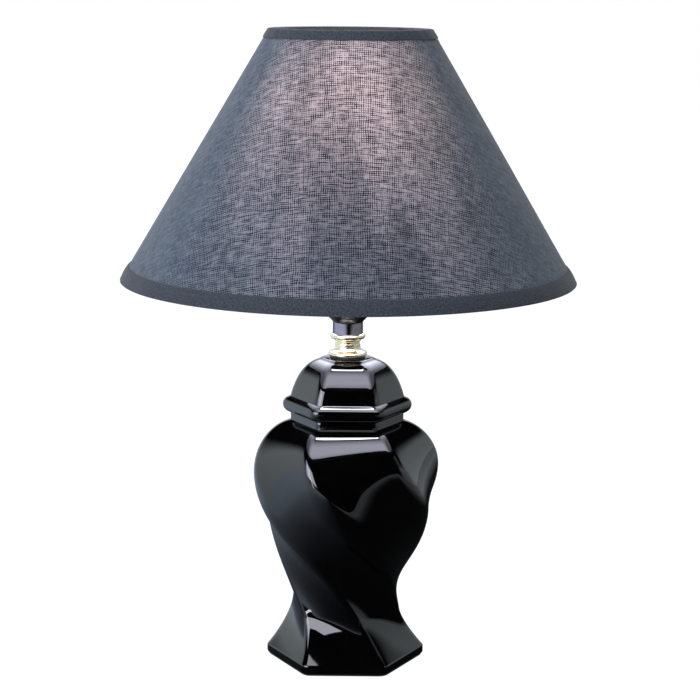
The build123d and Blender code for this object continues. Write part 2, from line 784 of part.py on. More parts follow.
with BuildPart() as clip_rivet:
    with BuildSketch(Plane.XY.offset(plate_bottom)):
        Circle(rivet_radius)
    extrude(amount=carrier_top + sliding_fit - plate_bottom)
    with BuildSketch(Plane.XY.offset(carrier_top + sliding_fit)):
        Circle(rivet_head_radius)
    extrude(amount=rivet_head_height)
    fillet(clip_rivet.edges().sort_by(Axis.Z)[-1], rivet_head_height / 2)
finish(clip_rivet, "clip_rivet")

with BuildPart() as shade_trim_top:
    with BuildSketch(Plane.XZ):
        with BuildLine():
            Polyline(*[on_wall(*corner) for corner in binding(cover_top, 1, trim_top_width)], close=True)
        make_face()
    revolve(axis=Axis.Z)
    with PolarLocations(0, arm_count, start_angle=first_arm_angle):
        add(arm_bar(arm_wire + loose_fit), mode=Mode.SUBTRACT)
finish(shade_trim_top, "shade_trim_top")
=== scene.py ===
import math

import bpy
import numpy as np
from mathutils import Matrix, Vector

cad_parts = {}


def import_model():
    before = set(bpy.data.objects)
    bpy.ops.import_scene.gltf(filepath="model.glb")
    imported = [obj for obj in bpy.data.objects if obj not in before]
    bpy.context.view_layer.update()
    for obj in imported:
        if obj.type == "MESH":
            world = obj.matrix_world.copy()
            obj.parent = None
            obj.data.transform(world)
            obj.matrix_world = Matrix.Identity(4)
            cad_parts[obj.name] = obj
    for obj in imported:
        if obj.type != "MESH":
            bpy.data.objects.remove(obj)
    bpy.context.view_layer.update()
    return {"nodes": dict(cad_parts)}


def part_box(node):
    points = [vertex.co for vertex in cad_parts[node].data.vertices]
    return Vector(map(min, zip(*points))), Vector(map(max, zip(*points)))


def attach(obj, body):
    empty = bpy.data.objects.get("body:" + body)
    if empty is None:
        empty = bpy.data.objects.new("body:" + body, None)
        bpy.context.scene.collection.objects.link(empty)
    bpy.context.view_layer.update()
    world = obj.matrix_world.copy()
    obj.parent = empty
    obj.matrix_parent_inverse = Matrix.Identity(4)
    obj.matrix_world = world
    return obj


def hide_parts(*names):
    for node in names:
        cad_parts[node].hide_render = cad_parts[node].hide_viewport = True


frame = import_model()
nodes = frame["nodes"]
mm = 0.001


# helpers


def putGrid(name, points, body, wrapRows=False, flatMap=None, caps=False, sharp=None):
    # points is rows x columns x 3 in millimetres; neighbours in the grid make the faces, and each row closes
    rows, columns = points.shape[:2]
    r = np.arange(rows if wrapRows else rows - 1)[:, None]
    c = np.arange(columns)[None, :]
    nextRow, nextColumn = (r + 1) % rows, (c + 1) % columns
    corners = [(r, c), (r, nextColumn), (nextRow, nextColumn), (nextRow, c)]
    faces = np.stack([a * columns + b + 0 * (r + c) for a, b in corners], -1).reshape(-1, 4).tolist()
    if caps:
        first = list(range(columns))
        faces += [first[::-1], [(rows - 1) * columns + k for k in first]]
    mesh = bpy.data.meshes.new(name)
    mesh.from_pydata((points.reshape(-1, 3) * mm).tolist(), [], faces)
    if flatMap is not None:
        # flatMap has one more column than the grid, so the map doesn't fold back at the join
        unwrapped = [(r, c), (r, c + 1), (r + 1, c + 1), (r + 1, c)]
        places = np.stack([np.stack(np.broadcast_arrays(a, b), -1) for a, b in unwrapped], 2).reshape(-1, 2)
        layer = mesh.uv_layers.new(name="flatMap")
        layer.data.foreach_set("uv", flatMap[places[:, 0] % len(flatMap), places[:, 1]].astype(np.float32).ravel())
    mesh.polygons.foreach_set("use_smooth", np.ones(len(mesh.polygons), bool))
    if sharp:
        mesh.set_sharp_from_angle(angle=math.radians(sharp))
    mesh.update()
    piece = bpy.data.objects.new(name, mesh)
    bpy.context.scene.collection.objects.link(piece)
    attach(piece, body)
    return piece


def turned(profile, columns=96):
    # a profile of (radius, height) swept round the lamp's axis
    angle = np.linspace(0, 2 * np.pi, columns, endpoint=False)
    profile = np.asarray(profile, float)
    x = profile[:, :1] * np.cos(angle)
    y = profile[:, :1] * np.sin(angle)
    return np.stack([x, y, np.broadcast_to(profile[:, 1:], x.shape)], -1)


def bow(centre, radius, start, end, count=7):
    # points on an arc of a profile, angles in degrees from the outward direction
    angle = np.radians(np.linspace(start, end, count))
    return [(centre[0] + radius * a, centre[1] + radius * b) for a, b in zip(np.cos(angle), np.sin(angle))]


def smoothCarried(*names):
    # a carried CAD node keeps its mesh; its loose triangles are joined and shaded smooth, creases kept
    for name in names:
        node = nodes[name]
        node.data.polygons.foreach_set("use_smooth", np.ones(len(node.data.polygons), bool))
        node.modifiers.new("join", "WELD").merge_threshold = 1e-6
        crease = node.modifiers.new("crease", "EDGE_SPLIT")
        crease.split_angle = math.radians(32)


def ink(code):
    # an sRGB hex colour as linear values
    parts = [int(code[k : k + 2], 16) / 255 for k in (1, 3, 5)]
    return tuple(p / 12.92 if p <= 0.04045 else ((p + 0.055) / 1.055) ** 2.4 for p in parts) + (1.0,)


def addNode(tree, kind, settings=None, links=None):
    # one node: its sockets, properties and colour stops, and what feeds it, a socket or a node's first output
    node = tree.nodes.new(kind)
    for key, value in (settings or {}).items():
        if key == "stops":
            band = node.color_ramp
            while len(band.elements) < len(value):
                band.elements.new(0.5)
            for element, (place, colour) in zip(band.elements, value):
                element.position = place
                element.color = colour
        elif isinstance(key, int) or key in node.inputs:
            node.inputs[key].default_value = value
        else:
            setattr(node, key, value)
    for key, source in (links or {}).items():
        tree.links.new(source.outputs[0] if hasattr(source, "outputs") else source, node.inputs[key])
    return node


def axes(tree, space="Object"):
    # the three numbers of a texture coordinate
    place = addNode(tree, "ShaderNodeTexCoord").outputs[space]
    return addNode(tree, "ShaderNodeSeparateXYZ", links={"Vector": place}).outputs


def grain(tree, sizeMm, detail=2.0, stretch=(1, 1, 1), roughness=0.5):
    # noise whose features are about sizeMm across; stretch lengthens them along an axis
    place = addNode(tree, "ShaderNodeTexCoord").outputs["Object"]
    scale = [1 / (sizeMm * mm * s) for s in stretch]
    placed = addNode(tree, "ShaderNodeMapping", {"Scale": scale}, {"Vector": place})
    noise = addNode(tree, "ShaderNodeTexNoise", {"Scale": 1.0, "Detail": detail, "Roughness": roughness},
                    {"Vector": placed})
    return noise.outputs["Fac"]


def dress(tree, look, tones, bumps, depthMm, strength):
    # colour from one pattern by the tones, a list of (place, hex colour), and relief from another
    shader = tree.nodes["Principled BSDF"]
    stops = [(place, ink(code)) for place, code in tones]
    colour = addNode(tree, "ShaderNodeValToRGB", {"stops": stops}, {"Fac": look})
    tree.links.new(colour.outputs["Color"], shader.inputs["Base Color"])
    bump = addNode(tree, "ShaderNodeBump", {"Distance": depthMm * mm, "Strength": strength}, {"Height": bumps})
    tree.links.new(bump.outputs["Normal"], shader.inputs["Normal"])


def newFinish(name, settings, mottle=None, tones=None, bumps=None, depthMm=0.0, strength=1.0):
    # a material with one Principled shader, its colour by one grain and its relief by another or the same;
    # mottle and bumps are what grain takes: size in mm, detail, stretch, roughness
    material = bpy.data.materials.new(name)
    material.use_nodes = True
    tree = material.node_tree
    tree.nodes.clear()
    shader = addNode(tree, "ShaderNodeBsdfPrincipled", settings)
    addNode(tree, "ShaderNodeOutputMaterial", links={"Surface": shader})
    if mottle:
        look = grain(tree, *mottle)
        dress(tree, look, tones, grain(tree, *bumps) if bumps else look, depthMm, strength)
    return material


def forRays(tree, kind, usual, special):
    # rays of that kind meet the special shader, all others the usual one
    path = addNode(tree, "ShaderNodeLightPath")
    return addNode(tree, "ShaderNodeMixShader", links={0: path.outputs[f"Is {kind} Ray"], 1: usual, 2: special})


def show(tree, surface):
    # this shader goes to the material's output
    output = next(node for node in tree.nodes if node.bl_idname == "ShaderNodeOutputMaterial")
    tree.links.new(surface.outputs[0], output.inputs["Surface"])


def letLightBy(tree, surface, tint):
    # shadow rays pass with this tint, so the bulb lights the far side of a thin sheet without noise
    show(tree, forRays(tree, "Shadow", surface, addNode(tree, "ShaderNodeBsdfTransparent", {"Color": tint})))


def wear(material, *pieces):
    # the piece shows this one material
    for piece in pieces:
        target = nodes[piece] if isinstance(piece, str) else piece
        target.data.materials.clear()
        target.data.materials.append(material)


# finishes


def blackGlaze():
    # earthenware under a thick black gloss glaze: mirror-like, faint orange peel
    return newFinish(
        "blackGlaze",
        {"Roughness": 0.035, "IOR": 1.54, "Coat Weight": 0.25, "Coat Roughness": 0.02, "Coat IOR": 1.5},
        mottle=(14, 3), tones=[(0.35, "#020203"), (0.7, "#060506")], bumps=(7, 1), depthMm=0.03, strength=0.35)


def turnedBrass():
    # bar brass, turned, buffed and lacquered: pale gold mirror with faint tool lines round it
    return newFinish(
        "turnedBrass", {"Metallic": 1.0, "Roughness": 0.15, "Coat Weight": 0.3, "Coat Roughness": 0.08},
        mottle=(4, 3), tones=[(0.3, "#f2e0b4"), (0.75, "#fbefd2")],
        bumps=(0.25, 2, (60, 60, 1)), depthMm=0.004, strength=0.5)


def bakedEnamel():
    # drawn steel under baked black gloss enamel: a little softer than the glaze, fine orange peel
    return newFinish(
        "bakedEnamel", {"Roughness": 0.16, "IOR": 1.5, "Coat Weight": 0.5, "Coat Roughness": 0.08},
        mottle=(3, 2), tones=[(0.3, "#09090b"), (0.7, "#111113")], bumps=(0.9, 2), depthMm=0.01, strength=0.4)


def platedHubEnamel():
    # the socket's cap: black gloss enamel on its bowl, and its hub's wall in black nickel plate, a dark mirror
    material = newFinish("platedHubEnamel", {"Roughness": 0.09, "IOR": 1.5})
    tree = material.node_tree
    shader = tree.nodes["Principled BSDF"]
    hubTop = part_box("socket_cap")[0].z + 6.1 * mm
    plated = addNode(tree, "ShaderNodeMapRange", {
        "From Min": hubTop - 0.2 * mm, "From Max": hubTop, "To Min": 1.0, "To Max": 0.0}, {"Value": axes(tree)["Z"]})
    tree.links.new(plated.outputs["Result"], shader.inputs["Metallic"])
    # the plate reflects less where its wall turns away
    edge = addNode(tree, "ShaderNodeValToRGB", {"stops": [(0.0, (1, 1, 1, 1)), (1.0, (0.12, 0.12, 0.14, 1))]},
                   {"Fac": plated})
    tree.links.new(edge.outputs["Color"], shader.inputs["Specular Tint"])
    # the plate's place among the tones is four fifths, the mottling's one fifth
    mottled = addNode(tree, "ShaderNodeMath", {"operation": "MULTIPLY", 1: 0.2}, {0: grain(tree, 3, 2)})
    level = addNode(tree, "ShaderNodeMath", {"operation": "MULTIPLY_ADD", 1: 0.8}, {0: plated, 2: mottled})
    tones = [(0.05, "#09090b"), (0.15, "#111113"), (0.85, "#99939d"), (0.95, "#a29ca6")]
    dress(tree, level, tones, grain(tree, 0.9, 2), 0.01, 0.4)
    return material


def zincSteel():
    # zinc plated mild steel: satin grey with the plating's fine crystals
    return newFinish(
        "zincSteel", {"Metallic": 1.0, "Roughness": 0.35},
        mottle=(0.8, 3), tones=[(0.3, "#9b9c9e"), (0.7, "#bcbcbb")], bumps=(0.3, 2), depthMm=0.01, strength=0.5)


def rolledBrass():
    # rolled brass sheet, unlacquered: warm, slightly dull, with stains
    return newFinish(
        "rolledBrass", {"Metallic": 1.0, "Roughness": 0.28},
        mottle=(2.5, 4), tones=[(0.3, "#b08b4c"), (0.7, "#d3b06c")],
        bumps=(0.2, 2, (8, 8, 1)), depthMm=0.005, strength=0.5)


def platedWire():
    # drawn steel wire, brass flashed: drawing lines and thin spots that show grey
    return newFinish(
        "platedWire", {"Metallic": 1.0, "Roughness": 0.24},
        mottle=(1.8, 4), tones=[(0.32, "#a79a78"), (0.6, "#d8bf86")], bumps=(0.25, 2), depthMm=0.006, strength=0.5)


def mouldedBlack():
    # moulded black plastic: satin with a fine spark-eroded texture
    return newFinish(
        "mouldedBlack", {"Roughness": 0.38, "IOR": 1.49},
        mottle=(1.5, 3), tones=[(0.3, "#0e0e0f"), (0.7, "#171718")], bumps=(0.18, 2), depthMm=0.02, strength=0.5)


def phenolicCore():
    # moulded phenolic: very dark brown, mottled with its wood-flour filler
    return newFinish(
        "phenolicCore", {"Roughness": 0.42, "IOR": 1.55},
        mottle=(0.7, 4), tones=[(0.35, "#17110e"), (0.7, "#2c221c")], bumps=(0.4, 2), depthMm=0.01, strength=0.4)


def fibreCard():
    # pressed insulating card: tan, with felted fibres
    return newFinish(
        "fibreCard", {"Roughness": 0.82, "IOR": 1.45},
        mottle=(0.35, 4, (6, 6, 1)), tones=[(0.3, "#8a7152"), (0.7, "#b39a76")], depthMm=0.05, strength=0.6)


def gasketRubber():
    # die-cut black rubber: matt, faintly dusty
    return newFinish(
        "gasketRubber", {"Roughness": 0.7, "IOR": 1.5},
        mottle=(1.2, 4), tones=[(0.3, "#0a0a0a"), (0.7, "#191919")], bumps=(0.25, 2), depthMm=0.02, strength=0.5)


def pressedFelt():
    # black wool-mix felt: no gloss, short tangled fibres, a soft sheen at the rim
    return newFinish(
        "pressedFelt", {"Roughness": 0.96, "IOR": 1.45, "Sheen Weight": 0.35, "Sheen Roughness": 0.5},
        mottle=(0.3, 5, (1, 1, 1), 0.7), tones=[(0.3, "#070708"), (0.75, "#1d1d20")], depthMm=0.25, strength=0.8)


def rolledAluminium():
    # rolled thin aluminium bulb cap: pale grey with fine rolling lines
    return newFinish(
        "rolledAluminium", {"Metallic": 1.0, "Roughness": 0.3},
        mottle=(1.6, 3), tones=[(0.3, "#b9babb"), (0.7, "#d2d2d1")],
        bumps=(0.2, 2, (20, 20, 1)), depthMm=0.008, strength=0.5)


def solderPip():
    # tinned solder: dull grey, lumpy
    return newFinish(
        "solderPip", {"Metallic": 1.0, "Roughness": 0.45},
        mottle=(1, 3), tones=[(0.3, "#8f9092"), (0.7, "#b4b3b0")], bumps=(1.4, 2), depthMm=0.15, strength=0.6)


def blackVitrite():
    # black insulating glass pressed into the bulb's cap: glossy, a little wavy
    return newFinish(
        "blackVitrite", {"Roughness": 0.12, "IOR": 1.52},
        mottle=(1.4, 3), tones=[(0.3, "#0b0b10"), (0.7, "#17161c")], bumps=(2, 2), depthMm=0.04, strength=0.4)


def clearGlass():
    # drawn glass of the bulb's mount: clear, with faint draw lines
    return newFinish(
        "clearGlass", {"Roughness": 0.02, "IOR": 1.5, "Transmission Weight": 1.0},
        mottle=(3, 2), tones=[(0.3, "#eef4f2"), (0.7, "#ffffff")],
        bumps=(0.6, 2, (1, 1, 12)), depthMm=0.01, strength=0.4)


def tungstenWire():
    # coiled tungsten, glowing: grey turns of wire about 0.35 mm apart, warm and bright
    material = newFinish("tungstenWire", {
        "Metallic": 1.0, "Roughness": 0.5, "Emission Color": ink("#ffd9a0"), "Emission Strength": 4.0})
    tree = material.node_tree
    coils = addNode(tree, "ShaderNodeTexWave", {"Scale": 1 / (0.35 * mm * 6.28), "bands_direction": "X"},
                    {"Vector": addNode(tree, "ShaderNodeTexCoord").outputs["Object"]}).outputs["Fac"]
    dress(tree, coils, [(0.2, "#5a5654"), (0.8, "#8d8a88")], coils, 0.1, 0.6)
    return material


bulbLight = {
    "colour": "#f1f2ff", "strength": 40.0,  # of the frosted globe, as the camera sees it
    "globeRadius": 30.0,
    "lampColour": "#ffece3", "lampRadiance": 6.6,  # of the lamp round it, which lights the shade
    "lampDrop": 4.0, "neckShare": 0.07, "topShare": 0.2,  # how far it hangs lower, its light at neck and top
    "linerPaintedGlow": 6.2,  # strength of the liner's painted glow, which only the glaze and the brass mirror
}


def frostedBulb():
    # soft-white coated glass, lit from inside: brightest over the filament, less towards its neck
    material = newFinish("frostedBulb", {
        "Base Color": ink("#f4f0e8"), "Roughness": 0.3, "IOR": 1.5, "Emission Strength": bulbLight["strength"]})
    tree = material.node_tree
    shader = tree.nodes["Principled BSDF"]
    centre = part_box("bulb_glass")[1].z - bulbLight["globeRadius"] * mm
    rise = addNode(tree, "ShaderNodeMapRange", {
        "From Min": centre - 50 * mm, "From Max": centre - 15 * mm, "To Min": 0.25, "To Max": 1.0},
        {"Value": axes(tree)["Z"]})
    coat = addNode(tree, "ShaderNodeMapRange", {"From Min": 0.3, "From Max": 0.7, "To Min": 0.94, "To Max": 1.0},
                   {"Value": grain(tree, 3, 3)})
    level = addNode(tree, "ShaderNodeMath", {"operation": "MULTIPLY"}, {0: rise, 1: coat})
    colour = addNode(tree, "ShaderNodeValToRGB", {"stops": [(0.0, (0, 0, 0, 1)), (1.0, ink(bulbLight["colour"]))]},
                     {"Fac": level})
    tree.links.new(colour.outputs["Color"], shader.inputs["Emission Color"])
    # bulbLamp lights the room, so the glass doesn't glow for diffuse rays and isn't sampled as a lamp
    plain = addNode(tree, "ShaderNodeBsdfDiffuse", {"Color": ink("#e6e4e0")})
    letLightBy(tree, forRays(tree, "Diffuse", shader, plain), (1, 1, 1, 1))
    material.cycles.emission_sampling = "NONE"
    return material


def whiteStyrene():
    # white styrene laminate inside the shade: satin, lets the bulb's light through, and carries a painted glow that
    # only reflections see
    material = newFinish(
        "whiteStyrene", {"Roughness": 0.5, "IOR": 1.5},
        mottle=(20, 3), tones=[(0.3, "#dfe2ee"), (0.7, "#e9ebf6")], bumps=(0.5, 2), depthMm=0.02, strength=0.4)
    tree = material.node_tree
    glow = addNode(tree, "ShaderNodeBsdfTranslucent", {"Color": ink("#f1eeee")})
    mixed = addNode(tree, "ShaderNodeMixShader", {0: 0.45}, {1: tree.nodes["Principled BSDF"], 2: glow})
    # a painted glow: for glossy rays the liner is an emission, so the glaze and the brass mirror it as bright as a real
    # bulb would light it; the painted glow is strongest a little above the hem, less towards both rims and away from
    # front and back
    place = axes(tree)
    low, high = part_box("shade_liner")
    level = addNode(tree, "ShaderNodeMapRange", {"From Min": low.z, "From Max": high.z}, {"Value": place["Z"]})
    aside = addNode(tree, "ShaderNodeMath", {"operation": "ABSOLUTE"}, {0: place["X"]})
    strength = addNode(tree, "ShaderNodeMapRange", {
        "From Min": 0.045, "From Max": 0.09, "To Min": bulbLight["linerPaintedGlow"], "To Max": bulbLight["linerPaintedGlow"] * 0.18},
        {"Value": aside})
    tones = addNode(tree, "ShaderNodeValToRGB", {"stops": [
        (0.0, (0.45, 0.46, 0.54, 1)), (0.16, (0.83, 0.85, 1, 1)), (0.45, (0.8, 0.82, 0.97, 1)),
        (0.95, (0.2, 0.21, 0.26, 1))]}, {"Fac": level})
    # the painted glow itself: an emission that only glossy rays meet
    paintedGlow = addNode(tree, "ShaderNodeEmission", links={"Color": tones, "Strength": strength})
    letLightBy(tree, forRays(tree, "Glossy", mixed, paintedGlow), (0.95, 0.93, 0.93, 1))
    return material


weave = {
    "threadMm": 1.05,  # about twice the real thread spacing, so that it shows at this size
    "wanderMm": 0.5,  # how far a thread strays sideways
    # the cloth's tones: its slubs and patches, plus painted shade between the threads and a painted highlight on their
    # crowns
    "threadDarkAndGapShade": "#37404a", "threadLightAndCrownHighlight": "#6e7984",
    "glowThin": "#fff4f6", "glowThick": "#1c1719",  # light through the cloth, at its gaps and at its threads
    "slubLengthMm": 6.5,
}


def wovenCloth():
    # plain-woven cotton with slubs, laminated: dull, with a painted highlight on the thread crowns and painted shade
    # between the threads, light comes through its gaps
    material = newFinish("wovenCloth", {
        "Roughness": 0.9, "Specular IOR Level": 0.0, "Sheen Weight": 0.25, "Sheen Roughness": 0.45})
    tree = material.node_tree
    cut = addNode(tree, "ShaderNodeUVMap", {"uv_map": "flatMap"})
    strayed = addNode(tree, "ShaderNodeMapping", {"Scale": (1 / 9, 1 / 9, 1)}, {"Vector": cut})
    stray = addNode(tree, "ShaderNodeTexNoise", {"Scale": 1.0, "Detail": 3.0}, {"Vector": strayed})
    centred = addNode(tree, "ShaderNodeVectorMath", {"operation": "SUBTRACT", 1: (0.5, 0.5, 0.5)},
                      {0: stray.outputs["Color"]})
    shift = addNode(tree, "ShaderNodeVectorMath", {"operation": "SCALE", "Scale": weave["wanderMm"] * 4}, {0: centred})
    place = addNode(tree, "ShaderNodeVectorMath", {"operation": "ADD"}, {0: cut, 1: shift})
    threads = addNode(tree, "ShaderNodeSeparateXYZ", links={"Vector": place}).outputs

    def crown(axis):
        # a thread's round back: the cosine of its place across the thread
        turn = addNode(tree, "ShaderNodeMath", {"operation": "MULTIPLY", 1: 2 * math.pi / weave["threadMm"]},
                       {0: threads[axis]})
        wave = addNode(tree, "ShaderNodeMath", {"operation": "COSINE"}, {0: turn})
        return addNode(tree, "ShaderNodeMath", {"operation": "MULTIPLY_ADD", 1: 0.5, 2: 0.5}, {0: wave})

    def slub(along, across, detail=2.0):
        # uneven spinning: noise drawn out along the thread
        drawn = addNode(tree, "ShaderNodeMapping", {"Scale": (1 / along, 1 / across, 1)}, {"Vector": place})
        return addNode(tree, "ShaderNodeTexNoise", {"Scale": 1.0, "Detail": detail, "Roughness": 0.6},
                       {"Vector": drawn}).outputs["Fac"]

    crossing = addNode(tree, "ShaderNodeMath", {"operation": "MULTIPLY"}, {0: crown("X"), 1: crown("Y")})
    weftSlub = slub(weave["slubLengthMm"], weave["threadMm"] * 1.1)
    warpSlub = slub(weave["threadMm"] * 1.1, weave["slubLengthMm"])
    slubs = addNode(tree, "ShaderNodeMix", {"Factor": 0.35}, {"A": weftSlub, "B": warpSlub})
    patchy = slub(30, 22, 3.0)
    threadHeight = addNode(tree, "ShaderNodeMath", {"operation": "MULTIPLY_ADD", 1: 0.45}, {0: crossing, 2: slubs})
    level = addNode(tree, "ShaderNodeMath", {"operation": "MULTIPLY_ADD", 1: 0.12}, {0: patchy, 2: threadHeight})
    look = addNode(tree, "ShaderNodeMapRange", {"From Min": 0.5, "From Max": 0.86}, {"Value": level})
    # the colour follows the thread height and the slubs: painted highlight on the crowns, painted shade between the
    # threads
    dress(tree, look, [(0.0, weave["threadDarkAndGapShade"]), (1.0, weave["threadLightAndCrownHighlight"])], threadHeight, 0.18, 0.6)
    thin = addNode(tree, "ShaderNodeValToRGB", {
        "stops": [(0.12, ink(weave["glowThick"])), (0.72, ink(weave["glowThin"]))]}, {"Fac": look})
    glow = addNode(tree, "ShaderNodeBsdfTranslucent", links={"Color": thin})
    # the gaps between threads close as the cloth turns away: the share of light let by falls with the slant
    slant = addNode(tree, "ShaderNodeLayerWeight", {"Blend": 0.5}).outputs["Facing"]
    gaps = addNode(tree, "ShaderNodeMapRange", {"From Min": 0.05, "From Max": 0.52, "To Min": 0.43, "To Max": 0.01},
                   {"Value": slant})
    mixed = addNode(tree, "ShaderNodeMixShader", links={0: gaps, 1: tree.nodes["Principled BSDF"], 2: glow})
    letLightBy(tree, mixed, (1, 0.96, 0.96, 1))
    return material


def bindingCloth():
    # the same cloth folded into a doubled binding and pressed: darker, since no light comes through
    material = newFinish("bindingCloth", {
        "Roughness": 0.88, "Specular IOR Level": 0.0, "Sheen Weight": 0.25, "Sheen Roughness": 0.45})
    tree = material.node_tree
    cut = addNode(tree, "ShaderNodeUVMap", {"uv_map": "flatMap"})
    threads = addNode(tree, "ShaderNodeMapping", {"Scale": (1 / 0.9, 1 / 0.9, 1), "Rotation": (0, 0, math.pi / 4)},
                      {"Vector": cut})
    knots = addNode(tree, "ShaderNodeTexNoise", {"Scale": 1.0, "Detail": 3.0, "Roughness": 0.65},
                    {"Vector": threads}).outputs["Fac"]
    dress(tree, knots, [(0.3, "#2b2f36"), (0.7, "#4f555b")], knots, 0.15, 0.6)
    return material


# urn

urn = {
    "feltThickness": 1.2, "feltInset": 0.9, "footRadius": 41.7, "footEdge": 4.0, "footRounding": 0.7,
    "flareRise": 22.2, "flarePower": 1.57, "waistRadius": 29.8,
    "bellyRise": 72.4, "bellyLead": 1.055, "bellyRadius": 49.6,
    "shoulderRise": 29.6, "shoulderFullness": 0.999, "shoulderEndRadius": 26.1,
    "corner": 5.0, "cornerSwell": 14.0, "swellRise": 57.4, "swellReach": 18.0, "cornerLimit": 0.45,
    "turn": 120.0, "turnLead": 1.206, "turnSway": 3.9,
    "collarRadius": 29.6, "collarHeight": 3.6, "collarCorner": 3.5, "collarFillet": 0.6, "mouthRadius": 19.0,
    "wall": 4.0, "floorHeight": 16.0, "floorThickness": 5.0, "footWall": 8.0, "cavityCeiling": 8.5,
    "rodHole": 5.5, "arcPoints": 11, "flatPoints": 9,
}
footBottom = urn["feltThickness"]
footEdgeTop = footBottom + urn["footEdge"]
waistHeight = footEdgeTop + urn["flareRise"]
bellyHeight = waistHeight + urn["bellyRise"]
shoulderTop = bellyHeight + urn["shoulderRise"]
collarTop = shoulderTop + urn["collarHeight"]


def urnRadius(height):
    # foot edge straight, flare a power of the fall, belly half a cosine, shoulder a quarter ellipse
    h = np.asarray(height, float)
    fall = np.clip((waistHeight - h) / urn["flareRise"], 0, 1)
    flare = urn["waistRadius"] + (urn["footRadius"] - urn["waistRadius"]) * fall ** urn["flarePower"]
    rise = np.clip((h - waistHeight) / urn["bellyRise"], 0, 1) ** urn["bellyLead"]
    belly = urn["waistRadius"] + (urn["bellyRadius"] - urn["waistRadius"]) * (1 - np.cos(np.pi * rise)) / 2
    up = np.clip((h - bellyHeight) / urn["shoulderRise"], 0, 1) * urn["shoulderFullness"]
    drop = (1 - np.sqrt(1 - up**2)) / (1 - math.sqrt(1 - urn["shoulderFullness"] ** 2))
    shoulder = urn["bellyRadius"] - (urn["bellyRadius"] - urn["shoulderEndRadius"]) * drop
    return np.where(h <= footEdgeTop, urn["footRadius"],
                    np.where(h <= waistHeight, flare, np.where(h <= bellyHeight, belly, shoulder)))


def urnAngle(height):
    # smooth step of the fall from the shoulder, with a lead that holds it back near the top, and a small sway
    fall = np.clip((shoulderTop - np.asarray(height, float)) / (shoulderTop - footEdgeTop), 0, 1)
    lead = fall ** urn["turnLead"]
    return urn["turn"] * lead**2 * (3 - 2 * lead) + urn["turnSway"] * np.sin(2 * np.pi * fall)


def urnCorner(height):
    # the ridges are softest at the lower belly: a bell curve of height over the plain corner
    place = (np.asarray(height, float) - waistHeight - urn["swellRise"]) / urn["swellReach"]
    return urn["corner"] + urn["cornerSwell"] * np.exp(-(place**2))


def hexRings(heights, radii, corners, angles, arcPoints, flatPoints):
    # each ring: six arcs of the corner radius joined by straight flats, turned by its angle
    radii, heights = np.asarray(radii, float), np.asarray(heights, float)
    corners = np.minimum(np.broadcast_to(corners, radii.shape), radii * urn["cornerLimit"])
    angles = np.radians(np.broadcast_to(angles, radii.shape))
    centre = radii - corners
    swing = np.radians(np.linspace(-30, 30, arcPoints))
    share = np.linspace(0, 1, flatPoints + 2)[1:-1]
    blocks = []
    for side in range(6):
        way = angles + side * np.pi / 3
        after = way + np.pi / 3

        def onArc(middle, turn):
            x = centre * np.cos(middle) + corners * np.cos(middle + turn)
            y = centre * np.sin(middle) + corners * np.sin(middle + turn)
            return np.stack([x, y], -1)

        blocks.append(np.stack([onArc(way, turn) for turn in swing], 1))
        start, end = onArc(way, swing[-1]), onArc(after, swing[0])
        blocks.append(start[:, None] * (1 - share[None, :, None]) + end[:, None] * share[None, :, None])
    flat = np.concatenate(blocks, 1)
    level = np.broadcast_to(heights[:, None, None], flat.shape[:2] + (1,))
    return np.concatenate([flat, level], -1)


def roundRings(heights, radii, guide):
    # circles whose points lie in the directions of a guide ring, so that faces don't shear
    way = guide[:, :2] / np.linalg.norm(guide[:, :2], axis=1, keepdims=True)
    radii, heights = np.asarray(radii, float), np.asarray(heights, float)
    flat = way[None] * radii[:, None, None]
    level = np.broadcast_to(heights[:, None, None], flat.shape[:2] + (1,))
    return np.concatenate([flat, level], -1)


def inset(distance):
    # how much less a hexagon's corner reach is when its flats move in by a distance
    return distance / math.cos(math.pi / 6)


